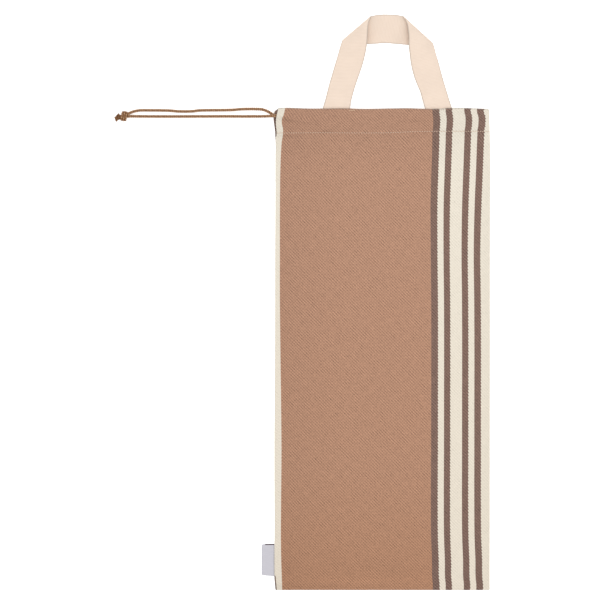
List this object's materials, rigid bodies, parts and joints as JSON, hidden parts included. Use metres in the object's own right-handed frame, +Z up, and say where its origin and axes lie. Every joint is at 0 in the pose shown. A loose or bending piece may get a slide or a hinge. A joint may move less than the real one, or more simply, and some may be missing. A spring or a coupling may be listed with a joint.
{
  "type": "drawstring bread bag",
  "caption": "Long flat cloth bag with a striped side, a hem with a drawstring that leaves on the left, and a folded webbing handle at the mouth, lying on its back.",
  "frame": {"origin": "middle of the base of the box around the bag, its handle and its label, on the surface that the bag lies on", "axes": "+Z up out of the front of the bag, +Y from the bottom seam towards the mouth and the handle, +X from the left seam to the right fold"},
  "size_m": [0.4882, 0.75, 0.0186],
  "materials": {
    "striped_twill": "matt cotton twill, tan-brown with cream and dark brown stripes",
    "cotton_webbing": "matt undyed cotton webbing",
    "braided_cord": "brown braided cord",
    "satin_ribbon": "light grey satin ribbon, bare"
  },
  "bodies": {
    "root": {"bag_cloth": "striped_twill", "handle_webbing": "cotton_webbing", "hem_cord": "braided_cord", "front_strand": "braided_cord", "back_strand": "braided_cord", "cord_knot": "braided_cord", "side_label": "satin_ribbon"}
  },
  "joints": []
}
